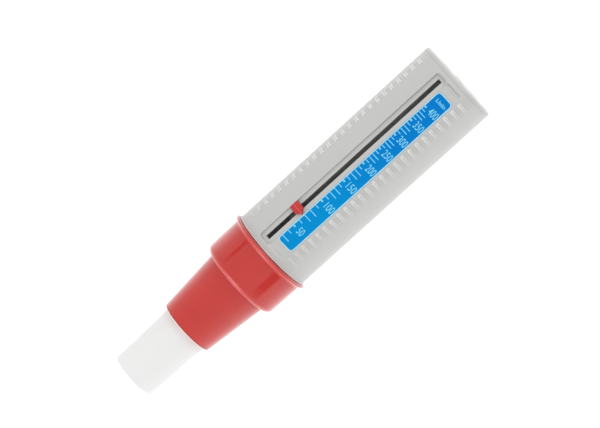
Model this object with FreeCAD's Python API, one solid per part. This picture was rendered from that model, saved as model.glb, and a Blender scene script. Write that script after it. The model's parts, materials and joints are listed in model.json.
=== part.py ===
import FreeCAD, Part
import math
import os

# Peak flow meter, lying on its back with its scale upwards.
# The axis runs along X, from the mouthpiece at -X to the end cap at +X.
# The origin is under the middle of the meter, on the surface that it lies on.
# Stations along the axis are counted from the joint between nose and barrel.

V = FreeCAD.Vector

# Barrel
BODY_LENGTH = 141.5
BODY_RADIUS = 25.65
BODY_WALL = 2.85
NECK_LENGTH = 13.0
NECK_WALL = 1.3

# Recess in the barrel: a channel that the pointer runs in, with the slot through
# its floor, and beside it the flat for the scale plate
RECESS_MARGIN_NOSE = 4.3
RECESS_MARGIN_CAP = 2.6
RECESS_CORNER = 2.0
CHANNEL_WIDTH = 8.4
CHANNEL_DEPTH = 1.25
SLOT_WIDTH = 2.8
SLOT_MARGIN = 2.4
FLAT_ANGLE_IN = 9.0
FLAT_ANGLE_OUT = 35.8
FLAT_SINK = 0.15

# Scale plate
PLATE_THICKNESS = 0.3
PLATE_MARGIN_ENDS = 6.5
PLATE_MARGIN_SIDES = 0.45
PLATE_CORNER = 2.2

# Grip ribs, one row on each flank
RIB_COUNT = 25
RIB_MARGIN_NOSE = 7.4
RIB_MARGIN_CAP = 6.4
RIB_WIDTH = 1.9
RIB_FLANK = 0.55
RIB_NOSE_CHORDS = 4
RIB_ANGLE_IN = 38.5
RIB_ANGLE_OUT = 57.0
RIB_HEIGHT = 0.55
RIB_LEAN = 2.2
RIB_CROWN_DROP = 4.65

# End cap
CAP_RIM = 2.5
CAP_FACE = 2.2
CAP_EDGE = 1.6
CAP_SPIGOT_LENGTH = 2.2
CAP_SPIGOT_WALL = 1.4
VENT_COUNT = 8
VENT_RING = 14.5
VENT_WIDTH = 3.6
VENT_LENGTH = 8.5
BOSS_RADIUS = 5.4
BOSS_LENGTH = 5.0

# Nose cone
JOINT_GAP = 0.35
COLLAR_LENGTH = 26.0
COLLAR_STEP = 0.1
COLLAR_EDGE = 3.6
FLANGE_STEP = 2.0
FLANGE_TOP = 1.0
FLANGE_TOP_WIDTH = 0.6
FLANGE_DROP = 1.3
FLANGE_LAND = 0.5
FLANGE_HEIGHT = 3.4
FLANGE_FILLET = 2.2
CONE_LENGTH = 40.0
CONE_SHOULDER = 4.5
CONE_TIP_WALL = 2.75
CONE_RIM_CHAMFER = 0.5
NOSE_WALL = 2.0
LEDGE_WIDTH = 2.2
SOCKET_DEPTH = 24.0
THROAT_STEP = 0.25
THROAT_LENGTH = 2.0

# Mouthpiece
MOUTH_LENGTH = 42.0
MOUTH_RADIUS = 15.0
MOUTH_DRAFT = 0.55
MOUTH_WALL = 1.7
MOUTH_TIP_EDGE = 0.7
BAND_LENGTH = 5.0
BAND_STEP = 0.3
TAIL_STEP = 0.05
RING_PLACE = 16.0
RING_WIDTH = 2.0
RING_DEPTH = 1.0

# Pointer, with its friction pad and clip under the slot
POINTER_PLACE = 30.3
POINTER_LENGTH = 5.9
POINTER_WIDTH = 7.7
POINTER_TIP = 2.6
POINTER_RISE = 0.9
POINTER_SLOPE = 0.8
STEM_LENGTH = 3.0
STEM_HEAD = 0.3
PAD_THICKNESS = 0.5
PAD_WIDTH = 6.4
CLIP_THICKNESS = 0.4
CLIP_WIDTH = 7.0
STUD_WIDTH = 1.6
STUD_LENGTH = 1.8

# Piston
PISTON_CLEARANCE = 0.5
DISC_THICKNESS = 1.0
DISC_LEAD = 5.6
SKIRT_LENGTH = 4.0
SKIRT_WALL = 0.9
HUB_RADIUS = 3.4
HUB_NOSE = 14.7
HUB_TAIL = 6.5
RIB_WEB_COUNT = 6
RIB_WEB_THICKNESS = 0.8
RIB_WEB_HEIGHT = 2.2
BUSH_RADIUS = 2.4
BUSH_LENGTH = 3.0

# Arm on the piston that pushes the pointer
ARM_WIDTH = 2.0
ARM_THICKNESS = 1.0
ARM_DROP = 2.2
ARM_FOOT_HEIGHT = 7.0
ARM_FOOT_WIDTH = 5.0
ARM_REACH_INTO_SLOT = 0.9
RIVET_RADIUS = 0.7
RIVET_HEAD_RADIUS = 1.1
RIVET_HEAD = 0.5
RIVET_PITCH = 3.4

# Guide rod and what holds it
ROD_RADIUS = 1.5
ROD_STUB = 0.8
SPIDER_THICKNESS = 2.4
SPIDER_RING_WALL = 2.0
SPIDER_ARM_COUNT = 3
SPIDER_ARM_WIDTH = 2.4
SPIDER_HUB_RADIUS = 3.4
SPIDER_HUB_NOSE = 3.0
NUT_ACROSS = 5.5
NUT_HEIGHT = 1.8
WASHER_RADIUS = 3.6
WASHER_THICKNESS = 0.5
BUFFER_RADIUS = 3.2
BUFFER_LENGTH = 1.2
REAR_BUFFER_LENGTH = 2.4

# Return spring, drawn out by the piston as it travels
SPRING_RADIUS = 4.5
SPRING_WIRE = 0.35
SPRING_TURNS = 13
SPRING_RUNS_PER_TURN = 8
SPRING_WIRE_SIDES = 5
CUP_RADIUS = 5.6
CUP_THICKNESS = 0.5
CUP_LIP = 1.0

# Gasket between the nose and the barrel's neck
GASKET_THICKNESS = 1.0
GASKET_WALL = 1.8

# Clearances
FIT_GAP = 0.05
SLIDE_GAP = 0.15
FREE_GAP = 0.3

# Places that several pieces share
BORE_RADIUS = BODY_RADIUS - BODY_WALL
RECESS_START = RECESS_MARGIN_NOSE
RECESS_END = BODY_LENGTH - RECESS_MARGIN_CAP
COLLAR_RADIUS = BODY_RADIUS + COLLAR_STEP
FLANGE_RADIUS = BODY_RADIUS + FLANGE_STEP
AXIS_HEIGHT = FLANGE_RADIUS
TAIL_RADIUS = MOUTH_RADIUS - TAIL_STEP
SOCKET_RADIUS = TAIL_RADIUS + FIT_GAP
CONE_TOP_RADIUS = COLLAR_RADIUS - CONE_SHOULDER
CONE_TIP_RADIUS = SOCKET_RADIUS + CONE_TIP_WALL
MOUTH_TIP_RADIUS = MOUTH_RADIUS - MOUTH_DRAFT
MOUTH_BORE_RADIUS = MOUTH_TIP_RADIUS - MOUTH_WALL
CONE_START = -(COLLAR_LENGTH + CONE_LENGTH)
FRONT = CONE_START - MOUTH_LENGTH
BACK = BODY_LENGTH + CAP_RIM
MIDDLE = (FRONT + BACK) / 2
FLAT_MIDDLE_ANGLE = (FLAT_ANGLE_IN + FLAT_ANGLE_OUT) / 2
FLAT_HALF_ANGLE = (FLAT_ANGLE_OUT - FLAT_ANGLE_IN) / 2
FLAT_PLANE = BODY_RADIUS * math.cos(math.radians(FLAT_HALF_ANGLE)) - FLAT_SINK
FLAT_HALF_WIDTH = BODY_RADIUS * math.sin(math.radians(FLAT_HALF_ANGLE))
CHANNEL_FLOOR = BODY_RADIUS - CHANNEL_DEPTH
NECK_RADIUS = BORE_RADIUS + NECK_WALL
COLLAR_BORE = NECK_RADIUS + FIT_GAP
GASKET_START = -NECK_LENGTH - GASKET_THICKNESS
SPIDER_START = GASKET_START - SPIDER_THICKNESS
SPIDER_HUB_START = SPIDER_START - SPIDER_HUB_NOSE
SOCKET_END = CONE_START + SOCKET_DEPTH
CUP_END = GASKET_START + CUP_THICKNESS
STEM_REAR = POINTER_PLACE - STEM_LENGTH / 2
ARM_FACE = STEM_REAR - FIT_GAP
DISC_FRONT = ARM_FACE - DISC_LEAD
DISC_REAR = DISC_FRONT + DISC_THICKNESS
CAP_INSIDE = BACK - CAP_FACE
BOSS_FRONT = CAP_INSIDE - BOSS_LENGTH
NUT_POCKET = WASHER_THICKNESS + NUT_HEIGHT + ROD_STUB + FREE_GAP
PAD_OUTER = BORE_RADIUS - FIT_GAP
CLIP_OUTER = PAD_OUTER - PAD_THICKNESS
STEM_END = CLIP_OUTER - CLIP_THICKNESS - STEM_HEAD
ARM_FOOT_HIGH = BORE_RADIUS - ARM_DROP
ARM_FOOT_LOW = ARM_FOOT_HIGH - ARM_FOOT_HEIGHT


def write(shape, node):
    """Move a finished piece from the axis to its place in the part's frame and save it."""
    placed = shape.copy()
    placed.translate(V(-MIDDLE, 0, AXIS_HEIGHT))
    placed.exportStep("parts/" + node + ".step")


def rod(start, end, radius):
    """Round bar about the axis."""
    return Part.makeCylinder(radius, end - start, V(start, 0, 0), V(1, 0, 0))


def tube(start, end, outer, inner):
    """Round tube about the axis."""
    return rod(start, end, outer).cut(rod(start, end, inner))


def corner_curve(before, corner, after, rounding):
    """Start, middle and end of the arc that rounds a corner of an outline."""
    back = (before - corner).normalize()
    ahead = (after - corner).normalize()
    half = back.getAngle(ahead) / 2
    inward = (back + ahead).normalize()
    middle = corner + inward * (rounding / math.sin(half) - rounding)
    reach = rounding / math.tan(half)
    return corner + back * reach, middle, corner + ahead * reach


def turned(outline):
    """Solid of revolution about the axis, from corners of station, radius and rounding."""
    corners = [V(corner[0], 0, corner[1]) for corner in outline]
    roundings = [corner[2] if len(corner) > 2 else 0 for corner in outline]
    edges = []
    last = None
    for index, rounding in enumerate(roundings + roundings[:1]):
        here = index % len(corners)
        start = end = corners[here]
        if rounding:
            after = corners[(here + 1) % len(corners)]
            start, middle, end = corner_curve(corners[here - 1], corners[here], after, rounding)
        if last:
            edges.append(Part.makeLine(last, start))
        if rounding and index < len(corners):
            edges.append(Part.Arc(start, middle, end).toShape())
        last = end
    return Part.Face(Part.Wire(edges)).revolve(V(0, 0, 0), V(1, 0, 0), 360)


def block(start, end, low_y, high_y, low_z, high_z):
    """Box between two stations."""
    return Part.makeBox(end - start, high_y - low_y, high_z - low_z, V(start, low_y, low_z))


def turned_by(shape, angle):
    """Copy of a shape, turned about the axis."""
    copy = shape.copy()
    copy.rotate(V(0, 0, 0), V(1, 0, 0), angle)
    return copy


def spread(shape, count, first=0.0):
    """Copies of a shape, evenly turned about the axis."""
    return [turned_by(shape, first + 360.0 * index / count) for index in range(count)]


def is_upright(edge):
    """True for a straight edge along Z."""
    return isinstance(edge.Curve, Part.Line) and abs(edge.Curve.Direction.z) > 0.99


def long_hole(length, width, low_z, high_z):
    """Upright prism with a long rounded outline, along X and centred on the Z axis."""
    half = width / 2
    reach = length / 2 - half
    high_side = Part.makeLine(V(-reach, half, low_z), V(reach, half, low_z))
    far_end = Part.Arc(V(reach, half, low_z), V(reach + half, 0, low_z), V(reach, -half, low_z))
    low_side = Part.makeLine(V(reach, -half, low_z), V(-reach, -half, low_z))
    near_end = Part.Arc(V(-reach, -half, low_z), V(-reach - half, 0, low_z), V(-reach, half, low_z))
    outline = Part.Wire([high_side, far_end.toShape(), low_side, near_end.toShape()])
    return Part.Face(outline).extrude(V(0, 0, high_z - low_z))


def arc_strip(start, end, outer, inner, width):
    """Strip of a thin tube wall, centred under the slot."""
    return tube(start, end, outer, inner).common(block(start, end, -width / 2, width / 2, 0, outer))


def cone_radius_at(station):
    """Outside radius of the nose cone at a station below the collar."""
    share = (station + COLLAR_LENGTH) / (CONE_START + COLLAR_LENGTH)
    return CONE_TOP_RADIUS + (CONE_TIP_RADIUS - CONE_TOP_RADIUS) * share


def rounded_block(start, end, low_y, high_y, low_z, high_z, corner):
    """Block with rounded upright edges."""
    pad = block(start, end, low_y, high_y, low_z, high_z)
    return pad.makeFillet(corner, [edge for edge in pad.Edges if is_upright(edge)])


def tongue_outline(half_width, tail, nose, height):
    """Outline of a tongue at one height, with a square tail and a nose of a few chords."""
    points = [V(-half_width, tail, height), V(half_width, tail, height)]
    for index in range(RIB_NOSE_CHORDS + 1):
        turn = math.pi * index / RIB_NOSE_CHORDS
        points.append(V(half_width * math.cos(turn), nose + half_width * math.sin(turn), height))
    return Part.makePolygon(points + points[:1])


def rib():
    """Grip rib at station zero: a tongue with sloping flanks round the barrel, fading away from the slot."""
    half_turn = math.radians(RIB_ANGLE_OUT - RIB_ANGLE_IN) / 2
    reach = BODY_RADIUS * half_turn
    nose = reach - RIB_WIDTH / 2
    low = BODY_RADIUS * math.cos(half_turn) - RIB_HEIGHT
    high = BODY_RADIUS + RIB_HEIGHT
    foot = RIB_WIDTH / 2 + (BODY_RADIUS - low) * RIB_FLANK / RIB_HEIGHT
    top = RIB_WIDTH / 2 - RIB_FLANK
    outlines = [tongue_outline(foot, -reach, nose, low), tongue_outline(top, -reach, nose, high)]
    tongue = Part.makeLoft(outlines, True, True)
    radius = high - RIB_CROWN_DROP
    crown = Part.makeCylinder(radius, 2 * foot, V(-foot, RIB_LEAN, RIB_CROWN_DROP), V(1, 0, 0))
    return turned_by(tongue.common(crown), (RIB_ANGLE_IN + RIB_ANGLE_OUT) / 2)


def body_tube():
    """Barrel: neck for the nose, channel, slot, scale flat and grip ribs."""
    barrel = turned([
        (-NECK_LENGTH, BORE_RADIUS),
        (-NECK_LENGTH, NECK_RADIUS),
        (0, NECK_RADIUS),
        (0, BODY_RADIUS),
        (BODY_LENGTH, BODY_RADIUS),
        (BODY_LENGTH, BORE_RADIUS),
    ])
    above = 2 * BODY_RADIUS
    side = CHANNEL_WIDTH / 2
    channel = rounded_block(RECESS_START, RECESS_END, -side, side, CHANNEL_FLOOR, above, RECESS_CORNER)
    inner_side = FLAT_HALF_WIDTH + RECESS_CORNER
    outer_side = -FLAT_HALF_WIDTH
    flat = rounded_block(RECESS_START, RECESS_END, outer_side, inner_side, FLAT_PLANE, above, RECESS_CORNER)
    half_slot = SLOT_WIDTH / 2
    slot = block(RECESS_START + SLOT_MARGIN, RECESS_END - SLOT_MARGIN, -half_slot, half_slot, 0, above)
    barrel = barrel.cut([channel, turned_by(flat, FLAT_MIDDLE_ANGLE), slot])
    right = rib()
    left = right.mirror(V(0, 0, 0), V(0, 1, 0))
    pitch = (BODY_LENGTH - RIB_MARGIN_NOSE - RIB_MARGIN_CAP) / (RIB_COUNT - 1)
    ribs = []
    for index in range(RIB_COUNT):
        station = V(RIB_MARGIN_NOSE + pitch * index, 0, 0)
        ribs += [right.translated(station), left.translated(station)]
    return barrel.fuse(ribs)


def scale_plate():
    """Thin plate that carries the scale, in the barrel's flat."""
    start = RECESS_START + PLATE_MARGIN_ENDS
    end = RECESS_END - PLATE_MARGIN_ENDS
    side = FLAT_HALF_WIDTH - PLATE_MARGIN_SIDES
    plate = rounded_block(start, end, -side, side, FLAT_PLANE, FLAT_PLANE + PLATE_THICKNESS, PLATE_CORNER)
    return turned_by(plate, FLAT_MIDDLE_ANGLE)


def end_cap():
    """Vented cap: rim flush with the barrel, spigot in its bore, boss for the rod."""
    spigot = BORE_RADIUS - FIT_GAP
    spigot_start = BODY_LENGTH - CAP_SPIGOT_LENGTH
    cap = turned([
        (BACK, 0),
        (BACK, BODY_RADIUS, CAP_EDGE),
        (BODY_LENGTH, BODY_RADIUS),
        (BODY_LENGTH, spigot),
        (spigot_start, spigot),
        (spigot_start, spigot - CAP_SPIGOT_WALL),
        (CAP_INSIDE, spigot - CAP_SPIGOT_WALL),
        (CAP_INSIDE, BOSS_RADIUS),
        (BOSS_FRONT, BOSS_RADIUS),
        (BOSS_FRONT, 0),
    ])
    vent = long_hole(VENT_LENGTH, VENT_WIDTH, -2 * CAP_FACE, CAP_FACE)
    vent.rotate(V(0, 0, 0), V(0, 1, 0), 90)
    vent.translate(V(BACK, 0, VENT_RING))
    cap = cap.cut(spread(vent, VENT_COUNT, 180.0 / VENT_COUNT))
    cap = cap.cut(rod(BACK - NUT_POCKET, BACK, WASHER_RADIUS + FREE_GAP))
    return cap.cut(rod(BOSS_FRONT, BACK, ROD_RADIUS + FIT_GAP))


def nose_cone():
    """Nose: flange and collar round the barrel's end and neck, cone and socket for the mouthpiece."""
    rim_bore = BODY_RADIUS + FREE_GAP
    ledge = COLLAR_BORE - LEDGE_WIDTH
    inner_corner = -COLLAR_LENGTH + NOSE_WALL
    throat = MOUTH_BORE_RADIUS + THROAT_STEP
    throat_end = SOCKET_END + THROAT_LENGTH
    funnel_end = throat_end + 2 * THROAT_LENGTH
    land_start = FLANGE_TOP - FLANGE_DROP
    return turned([
        (-JOINT_GAP, COLLAR_BORE),
        (-JOINT_GAP, rim_bore),
        (FLANGE_TOP, rim_bore),
        (FLANGE_TOP, rim_bore + FLANGE_TOP_WIDTH),
        (land_start, FLANGE_RADIUS),
        (land_start - FLANGE_LAND, FLANGE_RADIUS),
        (FLANGE_TOP - FLANGE_HEIGHT, COLLAR_RADIUS, FLANGE_FILLET),
        (-COLLAR_LENGTH, COLLAR_RADIUS, COLLAR_EDGE),
        (-COLLAR_LENGTH, CONE_TOP_RADIUS),
        (CONE_START + CONE_RIM_CHAMFER, CONE_TIP_RADIUS),
        (CONE_START, CONE_TIP_RADIUS - CONE_RIM_CHAMFER),
        (CONE_START, SOCKET_RADIUS),
        (SOCKET_END, SOCKET_RADIUS),
        (SOCKET_END, throat),
        (throat_end, throat),
        (funnel_end, cone_radius_at(funnel_end) - NOSE_WALL),
        (-COLLAR_LENGTH, CONE_TOP_RADIUS - NOSE_WALL),
        (inner_corner, ledge),
        (SPIDER_START, ledge),
        (SPIDER_START, COLLAR_BORE),
    ])


def mouthpiece():
    """Mouthpiece: drafted tube with a straight bore and a band, and a tail that slides into the socket."""
    band_radius = MOUTH_RADIUS + BAND_STEP
    band_start = CONE_START - BAND_LENGTH
    ring_end = SOCKET_END - RING_PLACE + RING_WIDTH
    return turned([
        (FRONT, MOUTH_BORE_RADIUS),
        (FRONT, MOUTH_TIP_RADIUS, MOUTH_TIP_EDGE),
        (band_start, MOUTH_RADIUS),
        (band_start, band_radius),
        (CONE_START, band_radius),
        (CONE_START, TAIL_RADIUS),
        (ring_end - RING_WIDTH, TAIL_RADIUS),
        (ring_end - RING_WIDTH, TAIL_RADIUS - RING_DEPTH),
        (ring_end, TAIL_RADIUS - RING_DEPTH),
        (ring_end, TAIL_RADIUS),
        (SOCKET_END - FREE_GAP, TAIL_RADIUS),
        (SOCKET_END - FREE_GAP, MOUTH_BORE_RADIUS),
    ])


def mouthpiece_ring():
    """Soft ring in the tail's groove, squeezed flat against the socket."""
    start = SOCKET_END - RING_PLACE
    floor = TAIL_RADIUS - RING_DEPTH
    end = start + RING_WIDTH - FIT_GAP
    return tube(start + FIT_GAP, end, SOCKET_RADIUS - FIT_GAP / 2, floor + FIT_GAP / 2)


def body_gasket():
    """Flat gasket between the end of the barrel's neck and the spider."""
    return tube(GASKET_START, -NECK_LENGTH, NECK_RADIUS, NECK_RADIUS - GASKET_WALL)


def front_spider():
    """Ring with arms that holds the front end of the guide rod in the air stream."""
    ring = tube(SPIDER_START, GASKET_START, NECK_RADIUS, NECK_RADIUS - SPIDER_RING_WALL)
    hub = rod(SPIDER_HUB_START, GASKET_START, SPIDER_HUB_RADIUS)
    half = SPIDER_ARM_WIDTH / 2
    arm_top = NECK_RADIUS - SPIDER_RING_WALL / 2
    arm = block(SPIDER_START, GASKET_START, -half, half, SPIDER_HUB_RADIUS / 2, arm_top)
    spider = ring.fuse([hub] + spread(arm, SPIDER_ARM_COUNT))
    spider = spider.removeSplitter()
    return spider.cut(rod(SPIDER_HUB_START, GASKET_START, ROD_RADIUS + FIT_GAP))


def guide_rod():
    """Steel rod that the piston slides on, from the spider to the end cap."""
    front = SPIDER_HUB_START - WASHER_THICKNESS - NUT_HEIGHT - ROD_STUB
    return rod(front, BACK - FREE_GAP, ROD_RADIUS)


def ring_on_rod(start, length, radius):
    """Round piece with a hole for the rod."""
    return tube(start, start + length, radius, ROD_RADIUS + FIT_GAP)


def rod_washers():
    """Washers under both rod nuts."""
    front = ring_on_rod(SPIDER_HUB_START - WASHER_THICKNESS, WASHER_THICKNESS, WASHER_RADIUS)
    rear = ring_on_rod(BACK - NUT_POCKET, WASHER_THICKNESS, WASHER_RADIUS)
    return Part.makeCompound([front, rear])


def nut(start):
    """Hexagonal nut on the rod."""
    corner = NUT_ACROSS / math.sqrt(3)
    points = []
    for index in range(7):
        turn = math.radians(60 * index)
        points.append(V(start, corner * math.cos(turn), corner * math.sin(turn)))
    blank = Part.Face(Part.makePolygon(points)).extrude(V(NUT_HEIGHT, 0, 0))
    return blank.cut(rod(start, start + NUT_HEIGHT, ROD_RADIUS + FIT_GAP))


def rod_nuts():
    """Nuts on both ends of the rod."""
    front = nut(SPIDER_HUB_START - WASHER_THICKNESS - NUT_HEIGHT)
    rear = nut(BACK - NUT_POCKET + WASHER_THICKNESS)
    return Part.makeCompound([front, rear])


def spring_cup():
    """Pressed steel cup on the spider that the spring's first coil sits in."""
    cup = ring_on_rod(GASKET_START, CUP_THICKNESS, CUP_RADIUS)
    lip = tube(GASKET_START, CUP_END + CUP_LIP, CUP_RADIUS, CUP_RADIUS - CUP_THICKNESS)
    return cup.fuse(lip).removeSplitter()


def return_spring():
    """Light coil spring between the cup and the front face of the piston."""
    wire = SPRING_WIRE
    start = CUP_END + wire + FIT_GAP
    end = DISC_FRONT - wire - FREE_GAP
    runs = SPRING_TURNS * SPRING_RUNS_PER_TURN
    points = []
    for index in range(runs + 1):
        turn = 2 * math.pi * index / SPRING_RUNS_PER_TURN
        station = start + (end - start) * index / runs
        points.append(V(station, SPRING_RADIUS * math.sin(turn), SPRING_RADIUS * math.cos(turn)))
    section = []
    for index in range(SPRING_WIRE_SIDES + 1):
        turn = 2 * math.pi * index / SPRING_WIRE_SIDES
        section.append(points[0] + V(wire * math.cos(turn), 0, wire * math.sin(turn)))
    return Part.makePolygon(points).makePipeShell([Part.makePolygon(section)], True, False, 1)


def front_buffer():
    """Soft stop on the rod that the piston's hub returns to."""
    return ring_on_rod(CUP_END, BUFFER_LENGTH, BUFFER_RADIUS)


def rear_buffer():
    """Soft stop on the rod in front of the end cap's boss."""
    return ring_on_rod(BOSS_FRONT - REAR_BUFFER_LENGTH, REAR_BUFFER_LENGTH, BUFFER_RADIUS)


def piston():
    """Piston: thin disc with a skirt, stiffening webs behind and a long hub on the rod."""
    rim = BORE_RADIUS - PISTON_CLEARANCE
    hub_front = DISC_FRONT - HUB_NOSE
    hub_rear = DISC_REAR + HUB_TAIL
    disc = rod(DISC_FRONT, DISC_REAR, rim)
    skirt = tube(DISC_FRONT, DISC_FRONT + SKIRT_LENGTH, rim, rim - SKIRT_WALL)
    hub = rod(hub_front, hub_rear, HUB_RADIUS)
    half = RIB_WEB_THICKNESS / 2
    web_top = rim - SKIRT_WALL / 2
    web = block(DISC_REAR, DISC_REAR + RIB_WEB_HEIGHT, -half, half, HUB_RADIUS / 2, web_top)
    body = disc.fuse([skirt, hub] + spread(web, RIB_WEB_COUNT, 180.0 / RIB_WEB_COUNT))
    body = body.removeSplitter()
    bore = rod(hub_front, hub_rear, ROD_RADIUS + FREE_GAP)
    front_seat = rod(hub_front, hub_front + BUSH_LENGTH, BUSH_RADIUS + FIT_GAP)
    rear_seat = rod(hub_rear - BUSH_LENGTH, hub_rear, BUSH_RADIUS + FIT_GAP)
    body = body.cut([bore, front_seat, rear_seat])
    return body.cut(rivet_shanks(FIT_GAP))


def hub_bushes():
    """Bearing bushes in both ends of the piston's hub."""
    front = DISC_FRONT - HUB_NOSE
    rear = DISC_REAR + HUB_TAIL - BUSH_LENGTH
    pair = [ring_on_rod(front, BUSH_LENGTH, BUSH_RADIUS), ring_on_rod(rear, BUSH_LENGTH, BUSH_RADIUS)]
    return Part.makeCompound(pair)


def rivet_places():
    """Heights of the two rivets above the axis."""
    middle = (ARM_FOOT_LOW + ARM_FOOT_HIGH) / 2 - ARM_THICKNESS / 2
    return [middle - RIVET_PITCH / 2, middle + RIVET_PITCH / 2]


def rivet_shanks(gap):
    """Round shanks through the disc and the arm's foot, or with a gap their holes."""
    start = DISC_FRONT - RIVET_HEAD / 2
    end = DISC_REAR + ARM_THICKNESS + RIVET_HEAD / 2
    shanks = []
    for height in rivet_places():
        shanks.append(rod(start, end, RIVET_RADIUS + gap).translated(V(0, 0, height)))
    return Part.makeCompound(shanks)


def arm_rivets():
    """Rivets that hold the arm on the piston's disc."""
    rivets = []
    for height, shank in zip(rivet_places(), rivet_shanks(0).Solids):
        near = rod(DISC_FRONT - RIVET_HEAD, DISC_FRONT, RIVET_HEAD_RADIUS)
        far_start = DISC_REAR + ARM_THICKNESS
        far = rod(far_start, far_start + RIVET_HEAD, RIVET_HEAD_RADIUS)
        heads = [near.translated(V(0, 0, height)), far.translated(V(0, 0, height))]
        rivets.append(shank.fuse(heads).removeSplitter())
    return Part.makeCompound(rivets)


def drive_arm():
    """Bent plate on the piston that reaches into the slot and pushes the pointer's stem."""
    half_foot = ARM_FOOT_WIDTH / 2
    half = ARM_WIDTH / 2
    top = BORE_RADIUS + ARM_REACH_INTO_SLOT
    shelf = ARM_FOOT_HIGH - ARM_THICKNESS
    foot_end = DISC_REAR + ARM_THICKNESS
    foot = block(DISC_REAR, foot_end, -half_foot, half_foot, ARM_FOOT_LOW, ARM_FOOT_HIGH)
    bridge = block(DISC_REAR, ARM_FACE, -half, half, shelf, ARM_FOOT_HIGH)
    finger = block(ARM_FACE - ARM_THICKNESS, ARM_FACE, -half, half, shelf, top)
    arm = foot.fuse([bridge, finger]).removeSplitter()
    return arm.cut(rivet_shanks(FIT_GAP))


def pointer():
    """Pointer: roof-shaped arrow in the channel, with a stem down through the slot."""
    base = CHANNEL_FLOOR + FIT_GAP
    top = BODY_RADIUS + POINTER_RISE
    rear = POINTER_PLACE - POINTER_LENGTH / 2
    front = POINTER_PLACE + POINTER_LENGTH / 2
    back_edge = POINTER_WIDTH / 2
    shoulder = -back_edge + POINTER_TIP
    outline = [
        V(rear, back_edge, base),
        V(front, back_edge, base),
        V(front, shoulder, base),
        V(POINTER_PLACE, -back_edge, base),
        V(rear, shoulder, base),
        V(rear, back_edge, base),
    ]
    head = Part.Face(Part.makePolygon(outline)).extrude(V(0, 0, top - base))
    eaves = top - POINTER_SLOPE
    gable = [V(rear, 0, eaves), V(POINTER_PLACE, 0, top), V(front, 0, eaves), V(front, 0, base)]
    gable += [V(rear, 0, base), V(rear, 0, eaves)]
    roof = Part.Face(Part.makePolygon(gable)).extrude(V(0, 2 * POINTER_WIDTH, 0))
    head = head.common(roof.translated(V(0, -POINTER_WIDTH, 0)))
    half_slot = SLOT_WIDTH / 2 - SLIDE_GAP
    stem = block(STEM_REAR, STEM_REAR + STEM_LENGTH, -half_slot, half_slot, PAD_OUTER, base)
    stud_half = STUD_WIDTH / 2
    stud_rear = POINTER_PLACE - STUD_LENGTH / 2
    stud = block(stud_rear, stud_rear + STUD_LENGTH, -stud_half, stud_half, STEM_END, PAD_OUTER)
    return head.fuse([stem, stud]).removeSplitter()


def strip_with_hole(outer, inner, width):
    """Curved strip inside the bore, with a square hole for the pointer's stud."""
    start = STEM_REAR
    strip = arc_strip(start, start + STEM_LENGTH, outer, inner, width)
    half = STUD_WIDTH / 2 + FIT_GAP
    reach = STUD_LENGTH / 2 + FIT_GAP
    hole = block(POINTER_PLACE - reach, POINTER_PLACE + reach, -half, half, 0, 2 * outer)
    return strip.cut(hole)


def pointer_pad():
    """Felt pad between the clip and the bore, which holds the pointer where it is pushed."""
    return strip_with_hole(PAD_OUTER, CLIP_OUTER, PAD_WIDTH)


def pointer_clip():
    """Spring steel clip under the pad, on the pointer's stud."""
    return strip_with_hole(CLIP_OUTER, CLIP_OUTER - CLIP_THICKNESS, CLIP_WIDTH)


PIECES = {
    "body_tube": body_tube,
    "scale_plate": scale_plate,
    "end_cap": end_cap,
    "nose_cone": nose_cone,
    "mouthpiece": mouthpiece,
    "mouthpiece_ring": mouthpiece_ring,
    "body_gasket": body_gasket,
    "front_spider": front_spider,
    "guide_rod": guide_rod,
    "rod_washers": rod_washers,
    "rod_nuts": rod_nuts,
    "spring_cup": spring_cup,
    "return_spring": return_spring,
    "front_buffer": front_buffer,
    "rear_buffer": rear_buffer,
    "piston": piston,
    "hub_bushes": hub_bushes,
    "arm_rivets": arm_rivets,
    "drive_arm": drive_arm,
    "pointer": pointer,
    "pointer_pad": pointer_pad,
    "pointer_clip": pointer_clip,
}

os.makedirs("parts", exist_ok=True)
for node, make in PIECES.items():
    write(make(), node)
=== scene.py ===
import json
import math

import bpy
from mathutils import Matrix, Vector

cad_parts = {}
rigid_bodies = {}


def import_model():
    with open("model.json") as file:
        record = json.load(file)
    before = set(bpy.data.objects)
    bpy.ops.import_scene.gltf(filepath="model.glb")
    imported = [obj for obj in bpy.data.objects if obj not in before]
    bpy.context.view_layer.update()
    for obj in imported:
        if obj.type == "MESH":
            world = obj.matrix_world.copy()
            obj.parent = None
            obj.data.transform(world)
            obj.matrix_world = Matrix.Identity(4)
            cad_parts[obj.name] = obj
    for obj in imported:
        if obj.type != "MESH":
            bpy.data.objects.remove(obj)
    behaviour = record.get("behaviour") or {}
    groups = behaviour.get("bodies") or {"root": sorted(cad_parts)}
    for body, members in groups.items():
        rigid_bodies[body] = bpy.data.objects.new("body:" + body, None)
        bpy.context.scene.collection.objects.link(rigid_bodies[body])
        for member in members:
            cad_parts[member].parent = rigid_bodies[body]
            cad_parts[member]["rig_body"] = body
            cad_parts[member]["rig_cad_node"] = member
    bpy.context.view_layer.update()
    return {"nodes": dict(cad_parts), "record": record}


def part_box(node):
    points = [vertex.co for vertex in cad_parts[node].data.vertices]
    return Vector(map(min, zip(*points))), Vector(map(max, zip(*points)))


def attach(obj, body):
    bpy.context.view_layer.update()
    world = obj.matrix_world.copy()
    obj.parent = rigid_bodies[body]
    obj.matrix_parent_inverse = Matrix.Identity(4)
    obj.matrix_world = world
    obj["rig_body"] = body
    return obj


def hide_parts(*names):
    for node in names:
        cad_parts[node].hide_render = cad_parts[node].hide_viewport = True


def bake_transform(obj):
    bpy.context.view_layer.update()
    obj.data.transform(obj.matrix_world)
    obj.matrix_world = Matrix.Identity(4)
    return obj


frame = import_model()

nodes = frame["nodes"]

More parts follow.
